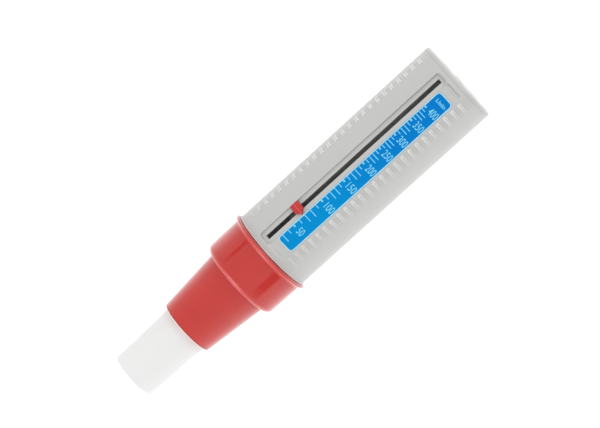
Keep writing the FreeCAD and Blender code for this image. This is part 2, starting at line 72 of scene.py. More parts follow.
# The meter's own stations run along X, in millimetres from the joint between nose and barrel
MM = 0.001
BARREL_END = 141.5
JOINT_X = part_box("body_tube")[1].x - BARREL_END * MM
AXIS_Z = (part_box("guide_rod")[0].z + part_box("guide_rod")[1].z) / 2
BODY_RADIUS = 25.65

# Nose
FLANGE_TOP = 1.0
FLANGE_RADIUS = 27.65
COLLAR_RADIUS = 25.75
COLLAR_LENGTH = 26.0
CROWN_END = -18.0
CROWN_DROP = 0.25
CONE_TOP_RADIUS = 21.25
CONE_START = -66.0
CONE_TIP_RADIUS = 17.75
FLANGE_EDGE = 1.5
FLANGE_BACK = 2.0
FLANGE_FOOT = 3.4
LIP_GAP = 0.12
LIP_STEP = 0.2
# Bands of the lip and of the cone's rim, which also carry the nose's painted highlight and painted shade
LIP_HIGHLIGHT = 0.3
LIP_LENGTH = 0.9
LIP_RISE = 0.75
RIM_SHADE = 1.0
RIM_HIGHLIGHT = 0.45
SHOULDER = -0.35
NECK_BORE = 24.15
NECK_END = -16.4
COLLAR_BORE = 21.95
COLLAR_BORE_END = -24.0
CONE_WALL = 2.0
FUNNEL_RADIUS = 16.6
FUNNEL_START = -36.0
THROAT_RADIUS = 13.0
THROAT_START = -40.0
SOCKET_RADIUS = 15.0
SOCKET_END = -42.0

# Barrel: the recess that the slot's channel and the scale's flat share, and the ribs
RECESS_START = 4.3
RECESS_END = 138.9
RECESS_LENGTH = RECESS_END - RECESS_START
CHANNEL_SIDE = 4.2
CHANNEL_DEEPEST = 24.3
CHANNEL_TOP = 25.2
FLAT_HALF = math.radians(13.4)
FLAT_SINK = 0.15
FLAT_LEVEL = BODY_RADIUS * math.cos(FLAT_HALF) - FLAT_SINK
FLAT_INNER_SIDE = -3.5
FLAT_SLOPE = 0.6
LEVEL_SLACK = 0.02
RECESS_SLACK = 0.1
SKIN_SLACK = 0.002
# Where the recess's rim carries a painted highlight, and the cap's seam a painted shade
RIM_DEPTH = 0.16
RIM_REACH = 0.3
RIM_SIDE = 4.0
SEAM_DEPTH = 0.3
SEAM_START = BARREL_END - 0.2
SEAM_END = BARREL_END + 0.3
RIB_START = math.radians(40)
RIB_FOOT = 0.03

# Painted shade and highlight: how far the channel's painted shade reaches from its wall and how it thins out,
# and where the ribs' painted highlight lies
SHADE_REACH = 2.5
SHADE_FALL = 1.1
SHADE_AT_NOSE = 0.4
SHADE_EDGE = 0.05
HIGHLIGHT_SLOPE = 0.96
HIGHLIGHT_AT_NOSE = 0.3
HIGHLIGHT_FULL = 45.0
HIGHLIGHT_BESIDE_SCALE = 0.6

# Mouthpiece
MOUTH_START = -108.0
MOUTH_TIP_RADIUS = 14.45
MOUTH_RADIUS = 15.0
MOUTH_BORE = 12.75
BAND_LENGTH = 5.0
BAND_RADIUS = 15.3
TAIL_RADIUS = 14.95
TAIL_END = -42.3
GROOVE_START = -58.0
GROOVE_END = -56.0
GROOVE_DEPTH = 1.0

# Scale: where the numbered marks stand, and how the marks are drawn
SCALE_TILT = math.radians(22.4)
PLATE_THICKNESS = 0.3
MARK_STATIONS = {50: 22.6, 100: 43.4, 150: 60.0, 200: 74.6, 250: 86.8, 300: 98.2, 350: 110.2, 400: 121.0}
MARK_STEP = 10
FIRST_MARK = 30
FIRST_SPACING = 4.2
MARK_START = 0.25
LONG_MARK = 5.3
SHORT_MARK = 2.9
MARKS_BETWEEN = ("short", "long", "long", "short")
MARK_WIDTH = 0.5
BOLD_MARK = 1.7
BOLD_WIDTH = 1.1
NUMERAL_START = 4.2
NUMERAL_SHIFT = 0.3
NUMERAL_HEIGHT = 4.7
NUMERAL_PITCH = 2.05
NUMERAL_GAP = 0.35
NUMERAL_WEIGHT = 0.006
UNIT_STATION = 128.2
UNIT_START = 2.5
UNIT_LENGTH = 6.8
UNIT_HEIGHT = 2.3
UNIT_WEIGHT = 0.025
BORDER_WIDTH = 0.45
BORDER_CORNER = 2.2
INK = 0.02

# Return spring
SPRING_RADIUS = 4.5
SPRING_WIRE = 0.35
SPRING_TURNS = 13

# Camera: where it looks from, how far away, and how it is rolled
CAMERA_LENS = 126.0
CAMERA_SENSOR = 36.0
CAMERA_DISTANCE = 1.1953
CAMERA_LEAN = math.radians(6.84)
CAMERA_SIDE = math.radians(16.638)
CAMERA_ROLL = math.radians(42.269)
CAMERA_TARGET = Vector((0.00818, 0.00463, 0.02801))

# Studio: its brightness, how much that falls away from the scale's side, soft boxes as (direction, tightness,
# strength), and the dark gaps as ranges of degrees from straight up towards the scale's side
STUDIO_LEVEL = 0.9
STUDIO_TILT = -0.05
STUDIO_GLOWS = [((-1, 0.0, 0.25), 16, 4.5), ((1, 0.0, 0.25), 16, 4.0), ((-0.5, -0.85, 0.1), 8, 0.25)]
STUDIO_GAPS = [(-50, -41), (62, 86)]
GAP_START = -0.19
GAP_END = 2.0
GAP_EDGE = 0.03

# Floor: its size and colour, and its glow on the plain side and on the scale's side, at this distance from
# the meter's axis
FLOOR_SIZE = 6
FLOOR_COLOUR = 0.2
FLOOR_GLOW_PLAIN = 0.88
FLOOR_GLOW_SCALE = 1.1
FLOOR_GLOW_REACH = 0.06

# Faint light inside the barrel, as its pale wall lets through, which shows behind the slot
INSIDE_X = 0.04
INSIDE_Y = 0.004
INSIDE_RISE = 0.012
INSIDE_SIZE = (0.13, 0.004)
INSIDE_POWER = 0.0014


# Helpers

def x_at(station):
    """Place along X, in metres, of a station in millimetres."""
    return JOINT_X + station * MM


def deselect():
    """Leave edit mode and select nothing."""
    if bpy.context.object and bpy.context.object.mode != "OBJECT":
        bpy.ops.object.mode_set(mode="OBJECT")
    bpy.ops.object.select_all(action="DESELECT")


def pick(obj):
    """Make one object the selected and active one."""
    deselect()
    obj.select_set(True)
    bpy.context.view_layer.objects.active = obj


def settle(obj):
    """Move an object's place into its mesh."""
    pick(obj)
    bpy.ops.object.transform_apply(location=True, rotation=True, scale=True)


def modify(obj, kind, **values):
    """Add a modifier with the given values and apply it."""
    pick(obj)
    modifier = obj.modifiers.new(kind.lower(), kind)
    for key, value in values.items():
        setattr(modifier, key, value)
    bpy.ops.object.modifier_apply(modifier=modifier.name)


def smooth(obj, degrees=35):
    """Smooth shading that keeps sharp edges, and in which the broad faces set the direction."""
    pick(obj)
    bpy.ops.object.shade_smooth_by_angle(angle=math.radians(degrees))
    modify(obj, "WEIGHTED_NORMAL", keep_sharp=True, weight=100)


def finish_piece(obj, body, material):
    """Give a piece its finish and let it ride on its body."""
    obj.data.materials.clear()
    obj.data.materials.append(material)
    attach(obj, body)


def station_of(place):
    """Station of a place, in millimetres."""
    return (place.x - JOINT_X) / MM


def out_of(place):
    """Distance of a place from the meter's axis, in millimetres."""
    return math.hypot(place.y, place.z - AXIS_Z) / MM


def select_corners(obj, wanted):
    """Open a piece for editing with the corners selected that a test of their place picks."""
    pick(obj)
    for parts in (obj.data.polygons, obj.data.edges):
        for part in parts:
            part.select = False
    for vertex in obj.data.vertices:
        vertex.select = wanted(vertex.co)
    bpy.context.tool_settings.mesh_select_mode = (True, False, False)
    bpy.ops.object.mode_set(mode="EDIT")


def select_ring(obj, station, radius, near=0.01):
    """Select one ring of a turned piece."""
    def on_ring(place):
        return abs(station_of(place) - station) < near and abs(out_of(place) - radius) < near

    select_corners(obj, on_ring)


def turned(name, outline, sides=144):
    """Solid turned about the meter's axis, ring by ring, from corners of station and radius. A rounded corner
    also has its rounding's width and segments."""
    deselect()
    station, radius = outline[0][:2]
    bpy.ops.mesh.primitive_circle_add(
        vertices=sides, radius=radius * MM, location=(x_at(station), 0, AXIS_Z), rotation=(0, math.pi / 2, 0)
    )
    obj = bpy.context.object
    obj.name = name
    settle(obj)
    bpy.ops.object.mode_set(mode="EDIT")
    bpy.ops.mesh.select_all(action="SELECT")
    for corner in outline[1:] + outline[:1]:
        step = (corner[0] - station) * MM
        bpy.ops.mesh.extrude_region_move(TRANSFORM_OT_translate={"value": (step, 0, 0)})
        grow = corner[1] / radius
        bpy.ops.transform.resize(value=(1, grow, grow), center_override=(x_at(corner[0]), 0, AXIS_Z))
        station, radius = corner[:2]
    bpy.ops.mesh.select_all(action="SELECT")
    bpy.ops.mesh.remove_doubles(threshold=0.001 * MM)
    bpy.ops.mesh.normals_make_consistent(inside=False)
    for corner in outline:
        if len(corner) > 2:
            select_ring(obj, corner[0], corner[1])
            width, segments = corner[2]
            bpy.ops.mesh.bevel(offset=width * MM, segments=segments, affect="EDGES", clamp_overlap=False)
    bpy.ops.object.mode_set(mode="OBJECT")
    smooth(obj)
    return obj


def refined(node, name, soften=0.0, segments=2, first=None):
    """Copy of a CAD node with its faces joined up and its edges softened, after any work of its own."""
    deselect()
    source = nodes[node]
    obj = source.copy()
    obj.data = source.data.copy()
    bpy.context.scene.collection.objects.link(obj)
    obj.parent = None
    obj.name = name
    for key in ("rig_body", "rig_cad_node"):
        if key in obj:
            del obj[key]
    pick(obj)
    bpy.ops.object.mode_set(mode="EDIT")
    bpy.ops.mesh.select_all(action="SELECT")
    bpy.ops.mesh.remove_doubles(threshold=0.002 * MM)
    bpy.ops.mesh.dissolve_limited(angle_limit=math.radians(0.5))
    bpy.ops.object.mode_set(mode="OBJECT")
    if first:
        first(obj)
    if soften:
        modify(obj, "BEVEL", width=soften * MM, segments=segments, limit_method="ANGLE",
               angle_limit=math.radians(30), harden_normals=False, use_clamp_overlap=True)
    smooth(obj, 30)
    return obj


def mark(obj, name, share):
    """Give each face a share, from its middle and its direction, which a finish follows."""
    layer = obj.data.attributes.new(name, "FLOAT", "FACE")
    for polygon in obj.data.polygons:
        layer.data[polygon.index].value = share(polygon.center, polygon.normal)


# Materials

# Usual low and high of a noise texture
TEXTURE_LOW = 0.3
TEXTURE_HIGH = 0.7


def new_material(name):
    """New finish, with its node tree and its shader."""
    material = bpy.data.materials.new(name)
    material.use_nodes = True
    shader = material.node_tree.nodes["Principled BSDF"]
    return material, material.node_tree, shader


def add(tree, kind, **values):
    """Add a node with the given settings and input values."""
    node = tree.nodes.new(kind)
    for key, value in values.items():
        if hasattr(node, key):
            setattr(node, key, value)
        else:
            node.inputs[key.replace("_", " ")].default_value = value
    return node


def noise(tree, scale, detail=2.0, stretch=(1, 1, 1)):
    """Noise over the piece itself, with a size given by its scale in features per metre."""
    place = add(tree, "ShaderNodeTexCoord")
    mapping = add(tree, "ShaderNodeMapping")
    mapping.inputs["Scale"].default_value = stretch
    texture = add(tree, "ShaderNodeTexNoise")
    texture.inputs["Scale"].default_value = scale
    texture.inputs["Detail"].default_value = detail
    tree.links.new(place.outputs["Object"], mapping.inputs["Vector"])
    tree.links.new(mapping.outputs["Vector"], texture.inputs["Vector"])
    return texture.outputs["Fac"]


def tint(tree, shader, source, first, second):
    """Colour that follows a texture from one colour to another."""
    ramp = add(tree, "ShaderNodeValToRGB")
    ramp.color_ramp.elements[0].position = TEXTURE_LOW
    ramp.color_ramp.elements[1].position = TEXTURE_HIGH
    ramp.color_ramp.elements[0].color = (*first, 1)
    ramp.color_ramp.elements[1].color = (*second, 1)
    tree.links.new(source, ramp.inputs["Fac"])
    tree.links.new(ramp.outputs["Color"], shader.inputs["Base Color"])


def dull(tree, shader, source, low, high):
    """Roughness that follows a texture between two values."""
    ranged = add(tree, "ShaderNodeMapRange")
    ranged.inputs["From Min"].default_value = TEXTURE_LOW
    ranged.inputs["From Max"].default_value = TEXTURE_HIGH
    ranged.inputs["To Min"].default_value = low
    ranged.inputs["To Max"].default_value = high
    tree.links.new(source, ranged.inputs["Value"])
    tree.links.new(ranged.outputs["Result"], shader.inputs["Roughness"])


def roughen(tree, shader, source, height):
    """Bump of a given height, in metres, on a shader."""
    bump = add(tree, "ShaderNodeBump")
    bump.inputs["Strength"].default_value = 1.0
    bump.inputs["Distance"].default_value = height
    tree.links.new(source, bump.inputs["Height"])
    tree.links.new(bump.outputs["Normal"], shader.inputs["Normal"])


def shade(colour, share):
    """A colour made darker or lighter by a share."""
    return tuple(channel * share for channel in colour)


def moulded_plastic(name, colour, gloss, grain, height, change, bloom=0.0):
    """Moulded plastic: faint clouds in its colour, uneven gloss and a fine grain from the tool."""
    material, tree, shader = new_material(name)
    tint(tree, shader, noise(tree, scale=60, detail=3.0), shade(colour, 1 - change), colour)
    dull(tree, shader, noise(tree, scale=420, detail=4.0), gloss - 0.04, gloss + 0.04)
    roughen(tree, shader, noise(tree, scale=grain), height)
    shader.inputs["IOR"].default_value = 1.49
    shader.inputs["Sheen Weight"].default_value = bloom
    shader.inputs["Sheen Roughness"].default_value = 0.4
    return material


def printed_plate(name, low_colour, high_colour):
    """Printed plate whose blue deepens towards the cap."""
    material, tree, shader = new_material(name)
    place = add(tree, "ShaderNodeTexCoord")
    split = add(tree, "ShaderNodeSeparateXYZ")
    along_plate = add(tree, "ShaderNodeMapRange")
    low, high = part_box("scale_plate")
    along_plate.inputs["From Min"].default_value = low.x
    along_plate.inputs["From Max"].default_value = high.x
    tree.links.new(place.outputs["Object"], split.inputs["Vector"])
    tree.links.new(split.outputs["X"], along_plate.inputs["Value"])
    tint(tree, shader, along_plate.outputs["Result"], low_colour, high_colour)
    dull(tree, shader, noise(tree, scale=900, detail=3.0), 0.42, 0.5)
    roughen(tree, shader, noise(tree, scale=5200), 2e-6)
    shader.inputs["Specular IOR Level"].default_value = 0.05
    return material


def printed_ink(name, colour):
    """Screen-printed ink, a little uneven in its cover."""
    material, tree, shader = new_material(name)
    cover = noise(tree, scale=3600, detail=3.0)
    tint(tree, shader, cover, shade(colour, 0.9), colour)
    dull(tree, shader, cover, 0.45, 0.6)
    roughen(tree, shader, cover, 3e-6)
    return material


def metal(name, colour, gloss, stretch=(1, 1, 1)):
    """Worked metal: fine lines left by the tool, and a gloss that follows them."""
    material, tree, shader = new_material(name)
    lines = noise(tree, scale=2400, detail=4.0, stretch=stretch)
    tint(tree, shader, lines, shade(colour, 0.85), colour)
    dull(tree, shader, lines, gloss - 0.06, gloss + 0.1)
    roughen(tree, shader, lines, 4e-6)
    shader.inputs["Metallic"].default_value = 1.0
    return material


def soft_rubber(name, colour):
    """Soft rubber with a dull bloom."""
    material, tree, shader = new_material(name)
    bloom = noise(tree, scale=700, detail=4.0)
    tint(tree, shader, bloom, colour, shade(colour, 1.8))
    dull(tree, shader, bloom, 0.62, 0.78)
    roughen(tree, shader, noise(tree, scale=3000, detail=3.0), 8e-6)
    return material


def dense_felt(name, colour):
    """Pressed felt: short fibres in all directions."""
    material, tree, shader = new_material(name)
    fibres = noise(tree, scale=4200, detail=6.0, stretch=(1, 3, 1))
    tint(tree, shader, fibres, shade(colour, 0.5), shade(colour, 1.7))
    shader.inputs["Roughness"].default_value = 0.95
    shader.inputs["Sheen Weight"].default_value = 0.4
    roughen(tree, shader, fibres, 6e-5)
    return material


BARREL_GREY = (0.525, 0.525, 0.511)
# The next six colours are painted highlight and painted shade: on the ribs and rims, in the channel, in the
# cap's seam, on the lip and on the pointer
HIGHLIGHT_GREY = (0.72, 0.72, 0.71)
CHANNEL_SHADE_GREY = (0.39, 0.39, 0.373)
BARREL_SHADE_GREY = (0.27, 0.27, 0.255)
SHADE_RED = (0.06, 0.003, 0.005)
HIGHLIGHT_PINK = (0.92, 0.72, 0.68)
RIDGE_HIGHLIGHT_RED = (0.78, 0.17, 0.15)
NOSE_RED = (0.53, 0.028, 0.022)
POINTER_RED = (0.56, 0.022, 0.022)
MOUTH_WHITE = (0.79, 0.79, 0.785)
PLATE_BLUE_LOW = (0.0, 0.25, 0.60)
PLATE_BLUE_HIGH = (0.0, 0.19, 0.56)
INK_CYAN = (0.18, 0.66, 0.93)
BORDER_CYAN = (0.42, 0.80, 0.94)
PISTON_BLACK = (0.05, 0.05, 0.05)
RUBBER_BLACK = (0.022, 0.022, 0.023)
FELT_BLACK = (0.05, 0.05, 0.05)
SPRING_GREY = (0.58, 0.58, 0.57)
BUSH_YELLOW = (0.66, 0.47, 0.18)
RIVET_GREY = (0.66, 0.66, 0.66)
ROD_GREY = (0.62, 0.62, 0.61)

finishes = {
    "barrel_plastic": moulded_plastic(
        "barrel_plastic", BARREL_GREY, gloss=0.34, grain=3800, height=4e-7, change=0.015),
    "nose_plastic": moulded_plastic(
        "nose_plastic", NOSE_RED, gloss=0.13, grain=1900, height=1e-6, change=0.05, bloom=0.55),
    "mouthpiece_plastic": moulded_plastic(
        "mouthpiece_plastic", MOUTH_WHITE, gloss=0.38, grain=2600, height=3e-6, change=0.015),
    "pointer_plastic": moulded_plastic(
        "pointer_plastic", POINTER_RED, gloss=0.3, grain=3200, height=2e-6, change=0.05),
    "piston_plastic": moulded_plastic(
        "piston_plastic", PISTON_BLACK, gloss=0.45, grain=3200, height=5e-6, change=0.2),
    "scale_blue": printed_plate("scale_blue", PLATE_BLUE_LOW, PLATE_BLUE_HIGH),
    "seal_rubber": soft_rubber("seal_rubber", RUBBER_BLACK),
    "felt": dense_felt("felt", FELT_BLACK),
    "spring_steel": metal("spring_steel", SPRING_GREY, gloss=0.28, stretch=(1, 6, 6)),
    "bush_brass": metal("bush_brass", BUSH_YELLOW, gloss=0.3, stretch=(6, 1, 1)),
    "rivet_aluminium": metal("rivet_aluminium", RIVET_GREY, gloss=0.35),
    "rod_steel": metal("rod_steel", ROD_GREY, gloss=0.2, stretch=(8, 1, 1)),
}
scale_ink = printed_ink("scale_ink", INK_CYAN)
border_ink = printed_ink("border_ink", BORDER_CYAN)


def marked(material, name):
    """Share that the piece's own faces carry as a mark."""
    return add(material.node_tree, "ShaderNodeAttribute", attribute_name=name).outputs["Fac"]


def wear(material, share, colour):
    """Let a finish turn by a share to a colour that paints highlight and shade onto it."""
    tree = material.node_tree
    shader = tree.nodes["Principled BSDF"]
    mix = add(tree, "ShaderNodeMix", data_type="RGBA")
    plain = shader.inputs["Base Color"].links[0].from_socket
    tree.links.new(share, mix.inputs["Factor"])
    tree.links.new(plain, mix.inputs["A"])
    mix.inputs["B"].default_value = (*colour, 1)
    tree.links.new(mix.outputs["Result"], shader.inputs["Base Color"])


def channel_dust(material):
    """Painted shade in the slot's channel: darkest under its upper wall and at the cap, and fainter towards the
    nose.
    """
    tree = material.node_tree
    place = add(tree, "ShaderNodeTexCoord")
    split = add(tree, "ShaderNodeSeparateXYZ")
    tree.links.new(place.outputs["Object"], split.inputs["Vector"])

    def rise(axis, start, end, low=0.0):
        """From a low value to one between two places on an axis."""
        ranged = add(tree, "ShaderNodeMapRange")
        ranged.inputs["From Min"].default_value = start
        ranged.inputs["From Max"].default_value = end
        ranged.inputs["To Min"].default_value = low
        tree.links.new(split.outputs[axis], ranged.inputs["Value"])
        return ranged.outputs["Result"]

    def combine(operation, first, second):
        """Two shares, or a share and a number, worked into one."""
        both = add(tree, "ShaderNodeMath", operation=operation)
        for socket, value in zip(both.inputs, (first, second)):
            if isinstance(value, float):
                socket.default_value = value
            else:
                tree.links.new(value, socket)
        return both.outputs["Value"]

    under_wall = rise("Y", (CHANNEL_SIDE - SHADE_REACH) * MM, CHANNEL_SIDE * MM)
    at_cap = rise("X", x_at(RECESS_END - SHADE_REACH), x_at(RECESS_END))
    share = combine("POWER", combine("MAXIMUM", under_wall, at_cap), SHADE_FALL)
    edge = SHADE_EDGE * MM
    floor_z, top_z = AXIS_Z + CHANNEL_DEEPEST * MM, AXIS_Z + CHANNEL_TOP * MM
    wall_y, wall_x = CHANNEL_SIDE * MM + edge, x_at(RECESS_END) + edge
    channel_limits = (
        ("Z", floor_z, floor_z + edge),
        ("Z", top_z, top_z - edge),
        ("Y", wall_y + edge, wall_y),
        ("X", wall_x + edge, wall_x),
    )
    for axis, start, end in channel_limits:
        share = combine("MULTIPLY", share, rise(axis, start, end))
    return combine("MULTIPLY", share, rise("X", x_at(RECESS_START), x_at(RECESS_END), SHADE_AT_NOSE))


# Painted shade in the slot's channel
wear(finishes["barrel_plastic"], channel_dust(finishes["barrel_plastic"]), CHANNEL_SHADE_GREY)
# Painted shade and painted highlight that the faces of barrel, nose and pointer carry as marks
for finish, shade_colour, highlight_colour in (
    ("barrel_plastic", BARREL_SHADE_GREY, HIGHLIGHT_GREY),
    ("nose_plastic", SHADE_RED, HIGHLIGHT_PINK),
    ("pointer_plastic", SHADE_RED, RIDGE_HIGHLIGHT_RED),
):
    wear(finishes[finish], marked(finishes[finish], "painted_shade"), shade_colour)
    wear(finishes[finish], marked(finishes[finish], "painted_highlight"), highlight_colour)

# Each CAD node takes the finish of its material slot
for subpart in frame["record"]["subparts"]:
    obj = nodes[subpart["node"]]
    obj.data.materials.clear()
    obj.data.materials.append(finishes[subpart["material_slot"]])


# Nose: flange, collar, cone and socket in one moulding

def cone_radius(station):
    """Radius of the cone's outside at a station."""
    share = (station - CONE_START) / (-COLLAR_LENGTH - CONE_START)
    return CONE_TIP_RADIUS + share * (CONE_TOP_RADIUS - CONE_TIP_RADIUS)


def on_cone(place):
    """Whether a place is on the cone's outside and not in its socket."""
    return out_of(place) > (CONE_TIP_RADIUS + SOCKET_RADIUS) / 2


def nose_dusty(place, normal):
    """Painted shade on the lip against the barrel and behind the cone's rim."""
    if FLANGE_TOP - LIP_LENGTH < station_of(place) < FLANGE_TOP - LIP_HIGHLIGHT and out_of(place) > BODY_RADIUS:
        return 1.0
    behind_rim = CONE_START + RIM_HIGHLIGHT < station_of(place) < CONE_START + RIM_SHADE
    return 0.5 if behind_rim and on_cone(place) else 0.0


def nose_rubbed(place, normal):
    """Painted highlight on the cone's rim and on the edge of the lip."""
    if station_of(place) > FLANGE_TOP - LIP_HIGHLIGHT and out_of(place) > BODY_RADIUS:
        return 0.8
    return 1.0 if station_of(place) < CONE_START + RIM_HIGHLIGHT and on_cone(place) else 0.0


nose = turned("nose_moulding", [
    (SHOULDER, NECK_BORE),
    (SHOULDER, BODY_RADIUS + LIP_GAP),
    (FLANGE_TOP, BODY_RADIUS + LIP_GAP),
    (FLANGE_TOP - LIP_HIGHLIGHT, BODY_RADIUS + LIP_GAP + LIP_STEP),
    (FLANGE_TOP - LIP_LENGTH, BODY_RADIUS + LIP_RISE),
    (FLANGE_TOP - FLANGE_EDGE, FLANGE_RADIUS, (0.24, 4)),
    (FLANGE_TOP - FLANGE_BACK, FLANGE_RADIUS, (0.24, 4)),
    (FLANGE_TOP - FLANGE_FOOT, COLLAR_RADIUS, (1.1, 8)),
    (CROWN_END, COLLAR_RADIUS, (3.0, 4)),
    (-COLLAR_LENGTH, COLLAR_RADIUS - CROWN_DROP, (3.4, 14)),
    (-COLLAR_LENGTH, CONE_TOP_RADIUS, (0.5, 4)),
    (CONE_START + RIM_SHADE, cone_radius(CONE_START + RIM_SHADE)),
    (CONE_START + RIM_HIGHLIGHT, cone_radius(CONE_START + RIM_HIGHLIGHT)),
    (CONE_START, CONE_TIP_RADIUS, (0.3, 4)),
    (CONE_START, SOCKET_RADIUS, (0.25, 3)),
    (SOCKET_END, SOCKET_RADIUS),
    (SOCKET_END, THROAT_RADIUS),
    (THROAT_START, THROAT_RADIUS),
    (FUNNEL_START, FUNNEL_RADIUS),
    (-COLLAR_LENGTH, CONE_TOP_RADIUS - CONE_WALL),
    (COLLAR_BORE_END, COLLAR_BORE),
    (NECK_END, COLLAR_BORE),
    (NECK_END, NECK_BORE),
])
# Painted shade and painted highlight marked on the nose's faces
mark(nose, "painted_shade", nose_dusty)
mark(nose, "painted_highlight", nose_rubbed)
finish_piece(nose, "barrel", finishes["nose_plastic"])
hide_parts("nose_cone")


# Mouthpiece: drafted tube with its band, and the tail with the ring's groove

mouth = turned("mouthpiece_moulding", [
    (MOUTH_START, MOUTH_BORE, (0.5, 4)),
    (MOUTH_START, MOUTH_TIP_RADIUS, (0.65, 6)),
    (CONE_START - BAND_LENGTH, MOUTH_RADIUS),
    (CONE_START - BAND_LENGTH, BAND_RADIUS, (0.12, 3)),
    (CONE_START, BAND_RADIUS),
    (CONE_START, TAIL_RADIUS),
    (GROOVE_START, TAIL_RADIUS),
    (GROOVE_START, TAIL_RADIUS - GROOVE_DEPTH),
    (GROOVE_END, TAIL_RADIUS - GROOVE_DEPTH),
    (GROOVE_END, TAIL_RADIUS),
    (TAIL_END, TAIL_RADIUS, (0.3, 3)),
    (TAIL_END, MOUTH_BORE),
])
finish_piece(mouth, "mouthpiece_unit", finishes["mouthpiece_plastic"])
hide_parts("mouthpiece")


# Barrel and cap, with softened edges

def in_recess(place):
    """On the scale's face of the barrel, between the recess's ends."""
    return place.z > AXIS_Z and RECESS_START - RECESS_SLACK < station_of(place) < RECESS_END + RECESS_SLACK


def over_flat(place):
    """Height above the flat that carries the scale, in millimetres."""
    rise = place.z - AXIS_Z
    return (rise * math.cos(SCALE_TILT) - place.y * math.sin(SCALE_TILT)) / MM - FLAT_LEVEL


def beside_flat(place):
    """In the recess, on the scale's side of the slot."""
    return in_recess(place) and place.y < FLAT_INNER_SIDE * MM


def lean_end_walls(obj):
    """Draw the flat's ends in from their walls, so that the walls lean outwards."""
    recess_middle = (x_at((RECESS_START + RECESS_END) / 2), 0, AXIS_Z)
    select_corners(obj, lambda place: beside_flat(place) and abs(over_flat(place)) < LEVEL_SLACK)
    bpy.ops.transform.resize(value=(1 - 2 * FLAT_SLOPE / RECESS_LENGTH, 1, 1), center_override=recess_middle)
    bpy.ops.object.mode_set(mode="OBJECT")


def lean_of(place, normal):
    """How squarely a face looks away from the meter's axis."""
    away = Vector((0, place.y, place.z - AXIS_Z))
    return normal.dot(away.normalized())


def along(normal, least=0.3):
    """Whether a face looks along the meter at all."""
    return abs(normal.x) > least


def ribs_rubbed(place, normal):
    """Painted highlight on the ribs, faintest near the nose: on their flanks, and beside the scale on their
    ends too.
    """
    if lean_of(place, normal) > HIGHLIGHT_SLOPE:
        return 0.0
    highlight_share = min(1.0, HIGHLIGHT_AT_NOSE + (1 - HIGHLIGHT_AT_NOSE) * station_of(place) / HIGHLIGHT_FULL)
    if place.y > 0:
        return highlight_share if along(normal) else 0.0
    inner_end = -place.y < math.sin(RIB_START) * out_of(place) * MM
    return HIGHLIGHT_BESIDE_SCALE * highlight_share if along(normal) or inner_end else 0.0


def barrel_rubbed(place, normal):
    """Painted highlight on the ribs and on the recess's rim at the cap."""
    out = out_of(place)
    if out > BODY_RADIUS + RIB_FOOT:
        return ribs_rubbed(place, normal)
    at_cap = abs(station_of(place) - RECESS_END) < RIM_REACH and in_recess(place) and place.y < RIM_SIDE * MM
    on_rim = BODY_RADIUS - RIM_DEPTH < out < BODY_RADIUS - SKIN_SLACK
    return 1.0 if at_cap and on_rim and along(normal, 0.1) else 0.0


def barrel_dusty(place, normal):
    """Painted shade on the flat's wall at the cap, and in the cap's seam."""
    station, out = station_of(place), out_of(place)
    if station > SEAM_START:
        in_seam = out > BODY_RADIUS - SEAM_DEPTH and station < SEAM_END
        return 0.8 if in_seam and along(normal, 0.15) else 0.0
    at_cap = station > RECESS_END - FLAT_SLOPE - RECESS_SLACK and beside_flat(place)
    on_wall = at_cap and out < BODY_RADIUS - RIM_DEPTH and over_flat(place) > LEVEL_SLACK
    return 1.0 if on_wall and along(normal) else 0.0


barrel = refined("body_tube", "barrel_moulding", 0.12, 2, lean_end_walls)
# Painted highlight and painted shade marked on the barrel's faces
mark(barrel, "painted_highlight", barrel_rubbed)
mark(barrel, "painted_shade", barrel_dusty)
finish_piece(barrel, "barrel", finishes["barrel_plastic"])
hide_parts("body_tube")

cap = refined("end_cap", "end_cap_moulding", 0.16, 2)
# Painted shade in the cap's seam
mark(cap, "painted_shade", barrel_dusty)
finish_piece(cap, "barrel", finishes["barrel_plastic"])
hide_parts("end_cap")


# Pointer

def pointer_rubbed(place, normal):
    """Painted highlight on the pointer's ridge."""
    return 1.0 if abs(normal.x) < 0.12 and normal.z > 0.95 else 0.0


def pointer_dusty(place, normal):
    """Painted shade darkens the pointer's sides, and a little the slope that looks to the nose."""
    if abs(normal.z) < 0.5:
        return 0.7
    return 0.2 if normal.x < -0.1 else 0.0


marker = refined("pointer", "pointer_moulding", 0.12, 2)
# Painted highlight and painted shade marked on the pointer's faces
mark(marker, "painted_highlight", pointer_rubbed)
mark(marker, "painted_shade", pointer_dusty)
finish_piece(marker, "pointer_unit", finishes["pointer_plastic"])
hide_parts("pointer")


# Scale: the plate's own plane, with X across from the slot and Y towards the cap

plate_low, plate_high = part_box("scale_plate")
plate_drop = PLATE_THICKNESS * MM
plate_edge_z = plate_high.z - plate_drop * math.cos(SCALE_TILT)
plate_width = (plate_high.y - plate_low.y - plate_drop * math.sin(SCALE_TILT)) / math.cos(SCALE_TILT) / MM
plate_length = (plate_high.x - plate_low.x) / MM
across = Vector((0, -math.cos(SCALE_TILT), -math.sin(SCALE_TILT)))
outward = Vector((0, -math.sin(SCALE_TILT), math.cos(SCALE_TILT)))
plate_corner = Vector((plate_low.x, plate_high.y, plate_edge_z)) + outward * plate_drop
on_plate = Matrix.Translation(plate_corner) @ Matrix((
    (0, 1, 0, 0),
    (across.y, 0, outward.y, 0),
    (across.z, 0, outward.z, 0),
    (0, 0, 0, 1),
))
plate_station = (plate_low.x - JOINT_X) / MM


def lay_on_plate(obj):
    """Put a flat piece drawn about the origin onto the scale plate."""
    obj.matrix_world = on_plate
    settle(obj)


def raise_ink():
    """Pull the flat faces in edit mode up to the thickness of the ink, and leave edit mode."""
    bpy.ops.mesh.select_all(action="SELECT")
    bpy.ops.mesh.extrude_region_move(TRANSFORM_OT_translate={"value": (0, 0, INK * MM)})
    bpy.ops.mesh.select_all(action="SELECT")
    bpy.ops.mesh.normals_make_consistent(inside=False)
    bpy.ops.object.mode_set(mode="OBJECT")


